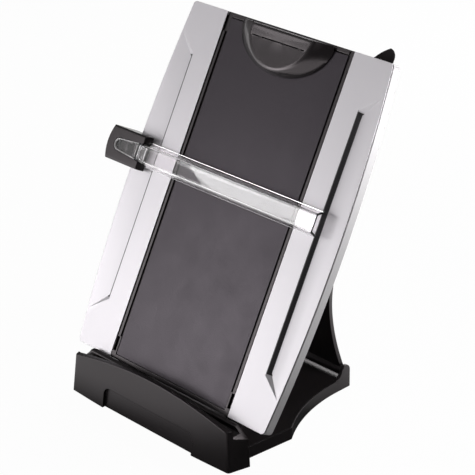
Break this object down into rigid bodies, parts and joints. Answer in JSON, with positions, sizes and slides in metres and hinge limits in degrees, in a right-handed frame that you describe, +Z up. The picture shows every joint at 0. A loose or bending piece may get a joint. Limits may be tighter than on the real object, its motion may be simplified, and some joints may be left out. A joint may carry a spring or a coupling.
{
  "type": "document holder with drawer",
  "caption": "Tilting desk document holder with a front ledge, sliding clear line guide, half-round paper clip, rear support and a slide-up drawer behind the panel.",
  "frame": {"origin": "on the desk, on the middle line, on the front foot strip's underside below the platform's front bottom edge", "axes": "+Z up, +X to the right of someone reading from the platform, +Y to the back"},
  "size_m": [0.293, 0.2123, 0.3348],
  "materials": {
    "black_plastic": "fine satin texture",
    "silver_plastic": "satin metallic silver",
    "grey_plastic": "satin grey-silver",
    "dark_strip": "matt black",
    "dark_sheet": "fine leather-like texture, matt",
    "white_runner": "slippery natural plastic",
    "rubber": "matt",
    "steel": "bright zinc",
    "felt": "pressed felt",
    "clear_plastic": "clear, polished"
  },
  "bodies": {
    "base": {"base_tray": "black_plastic", "front_ledge": "black_plastic", "base_screws": "steel", "front_foot_strip": "rubber", "left_rear_foot": "rubber", "right_rear_foot": "rubber", "left_ledge_foot": "rubber", "right_ledge_foot": "rubber", "tilt_rod": "steel", "support_rod": "steel"},
    "support": {"support_plate": "black_plastic", "support_tip_pad": "rubber"},
    "platform": {"back_cover": "grey_plastic", "left_wing": "silver_plastic", "right_wing": "silver_plastic", "left_groove_strip": "dark_strip", "right_groove_strip": "dark_strip", "centre_frame": "black_plastic", "centre_panel": "dark_sheet", "left_notch_rack": "black_plastic", "right_notch_rack": "black_plastic", "pen_holder": "black_plastic", "pen_holder_screws": "steel", "cover_screws": "steel", "guide_rail": "black_plastic", "clip_bracket": "black_plastic", "clip_pin": "steel", "clip_spring": "steel"},
    "drawer": {"drawer_tray": "black_plastic", "drawer_pull": "black_plastic", "left_drawer_runner": "white_runner", "right_drawer_runner": "white_runner"},
    "paper_clip": {"clip_lever": "black_plastic", "clip_pad": "rubber"},
    "guide_slider": {"slider_body": "black_plastic", "slider_jaw": "black_plastic", "slider_screws": "steel", "slider_brake_pad": "felt", "arm_pin": "steel", "arm_spring": "steel"},
    "guide_arm": {"guide_bar": "clear_plastic"}
  },
  "joints": [
    {"name": "platform_tilt", "type": "hinge", "parent": "base", "child": "platform", "pos_m": [0, 0.02147, 0.03652], "axis": [1, 0, 0], "range_deg": [-4, 8]},
    {"name": "support_swing", "type": "hinge", "parent": "base", "child": "support", "pos_m": [0, 0.1555, 0.018], "axis": [1, 0, 0], "range_deg": [-5.19, 10.33]},
    {"name": "drawer_slide", "type": "slide", "parent": "platform", "child": "drawer", "axis": [0, 0.473, 0.8811], "range_m": [0, 0.18]},
    {"name": "clip_press", "type": "hinge", "parent": "platform", "child": "paper_clip", "pos_m": [0, 0.15003, 0.32503], "axis": [-1, 0, 0], "range_deg": [0, 10], "stiffness_Nm_per_rad": 0.15, "springref_deg": -20.05},
    {"name": "line_guide_slide", "type": "slide", "parent": "platform", "child": "guide_slider", "axis": [0, 0.473, 0.8811], "range_m": [-0.14, 0.09]},
    {"name": "guide_arm_lift", "type": "hinge", "parent": "guide_slider", "child": "guide_arm", "pos_m": [-0.1205, 0.0817, 0.20452], "axis": [0, -0.473, -0.8811], "range_deg": [0, 8], "stiffness_Nm_per_rad": 0.1, "springref_deg": -20.05}
  ],
  "couplings": [
    {"joint": "support_swing", "follows": "platform_tilt", "ratio": 1.285}
  ]
}
